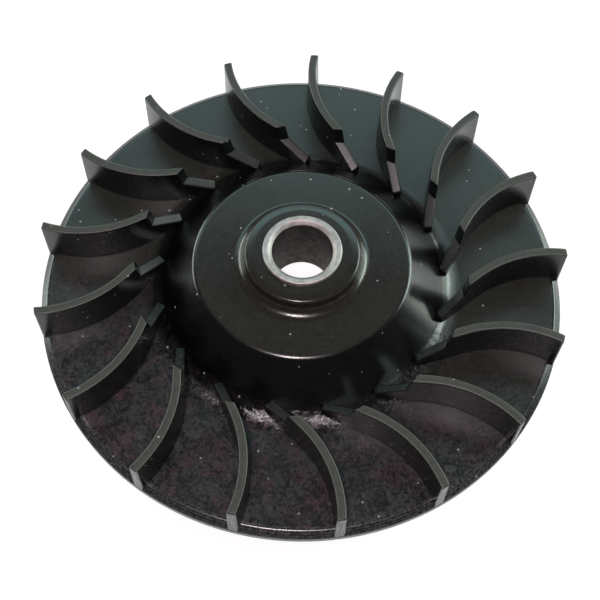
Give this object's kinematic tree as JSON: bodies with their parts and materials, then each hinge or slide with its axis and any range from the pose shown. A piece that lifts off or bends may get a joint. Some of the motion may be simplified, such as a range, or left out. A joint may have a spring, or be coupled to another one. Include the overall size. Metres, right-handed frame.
{
  "type": "cooling fan impeller",
  "caption": "Moulded centrifugal fan impeller: flat disc with curved stepped blades, a conical hub with a low boss, and a steel bush for the motor shaft.",
  "frame": {"origin": "on the axis, at the underside of the disc", "axes": "+Z along the axis, from the disc towards the blades and the boss; +Y through the tip of one blade"},
  "size_m": [0.09, 0.09, 0.0135],
  "materials": {
    "black_nylon": "satin black moulded glass-filled nylon",
    "turned_steel": "fine turned steel"
  },
  "bodies": {
    "root": {"impeller": "black_nylon", "bush": "turned_steel"}
  },
  "joints": []
}
